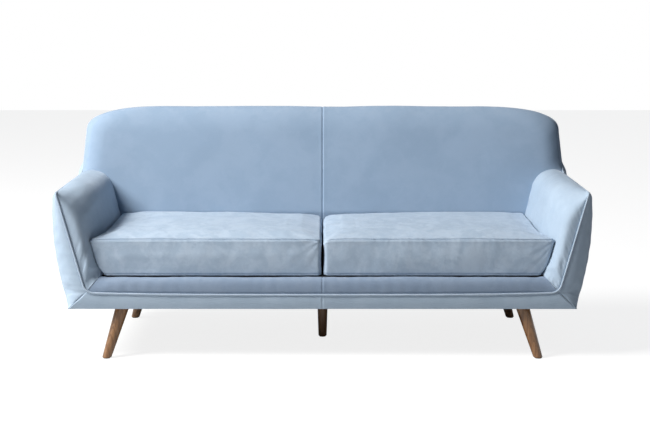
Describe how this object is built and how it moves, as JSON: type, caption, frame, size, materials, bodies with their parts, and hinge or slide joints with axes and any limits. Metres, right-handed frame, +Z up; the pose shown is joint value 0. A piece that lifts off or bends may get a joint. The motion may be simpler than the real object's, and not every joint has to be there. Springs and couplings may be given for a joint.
{
  "type": "two-seater sofa",
  "caption": "Upholstered two-seater sofa with leaning padded arms, a one-piece padded back, loose seat cushions, piping and splayed tapered wooden legs.",
  "frame": {"origin": "on the floor, at the middle of the sofa's width and depth", "axes": "+X to the sitter's left along the width as seen from the front, +Y to the back, +Z up"},
  "size_m": [1.93, 0.8328, 0.8474],
  "materials": {
    "sofa_cloth": "napped",
    "piping_cloth": "napped",
    "lining": "matte",
    "padding": "matte",
    "frame_timber": "sawn",
    "leg_wood": "satin",
    "board": "matte",
    "steel": "zinc",
    "glide": "matte"
  },
  "bodies": {
    "root": {"base_front_rail": "frame_timber", "base_rear_rail": "frame_timber", "base_side_rails": "frame_timber", "base_centre_rail": "frame_timber", "corner_blocks": "frame_timber", "arm_front_post_left": "frame_timber", "arm_front_post_right": "frame_timber", "arm_top_rail_left": "frame_timber", "arm_top_rail_right": "frame_timber", "back_post_left": "frame_timber", "back_post_right": "frame_timber", "back_post_centre": "frame_timber", "back_top_rail": "frame_timber", "back_lower_rail": "frame_timber", "seat_webbing": "lining", "back_webbing": "lining", "deck_pad": "padding", "deck_cover": "lining", "dust_cover": "lining", "arm_foam_left": "padding", "arm_foam_right": "padding", "back_foam": "padding", "rail_foam": "padding", "arm_cover_left": "sofa_cloth", "arm_cover_right": "sofa_cloth", "back_cover_left": "sofa_cloth", "back_cover_right": "sofa_cloth", "rail_cover": "sofa_cloth", "side_board_left": "board", "side_board_right": "board", "side_wadding_left": "padding", "side_wadding_right": "padding", "side_cover_left": "sofa_cloth", "side_cover_right": "sofa_cloth", "back_board": "board", "outer_back_cover": "sofa_cloth", "front_border_left": "sofa_cloth", "front_border_right": "sofa_cloth", "piping": "piping_cloth", "front_leg_left": "leg_wood", "front_leg_right": "leg_wood", "rear_leg_left": "leg_wood", "rear_leg_right": "leg_wood", "centre_leg": "leg_wood", "leg_plates": "steel", "hanger_bolts": "steel", "plate_screws": "steel", "foot_glides": "glide"},
    "left_cushion": {"cushion_cover_left": "sofa_cloth", "cushion_base_left": "sofa_cloth", "cushion_core_left": "padding", "zip_tape_left": "lining"},
    "right_cushion": {"cushion_cover_right": "sofa_cloth", "cushion_base_right": "sofa_cloth", "cushion_core_right": "padding", "zip_tape_right": "lining"},
    "left_zip_slider": {"zip_slider_left": "steel"},
    "right_zip_slider": {"zip_slider_right": "steel"}
  },
  "joints": [
    {"name": "left_cushion_lift", "type": "slide", "parent": "root", "child": "left_cushion", "axis": [0, 0, 1], "range_m": [0, 0.35]},
    {"name": "right_cushion_lift", "type": "slide", "parent": "root", "child": "right_cushion", "axis": [0, 0, 1], "range_m": [0, 0.35]},
    {"name": "left_zip_slide", "type": "slide", "parent": "left_cushion", "child": "left_zip_slider", "axis": [-1, 0, 0], "range_m": [0, 0.46]},
    {"name": "right_zip_slide", "type": "slide", "parent": "right_cushion", "child": "right_zip_slider", "axis": [1, 0, 0], "range_m": [0, 0.46]}
  ]
}
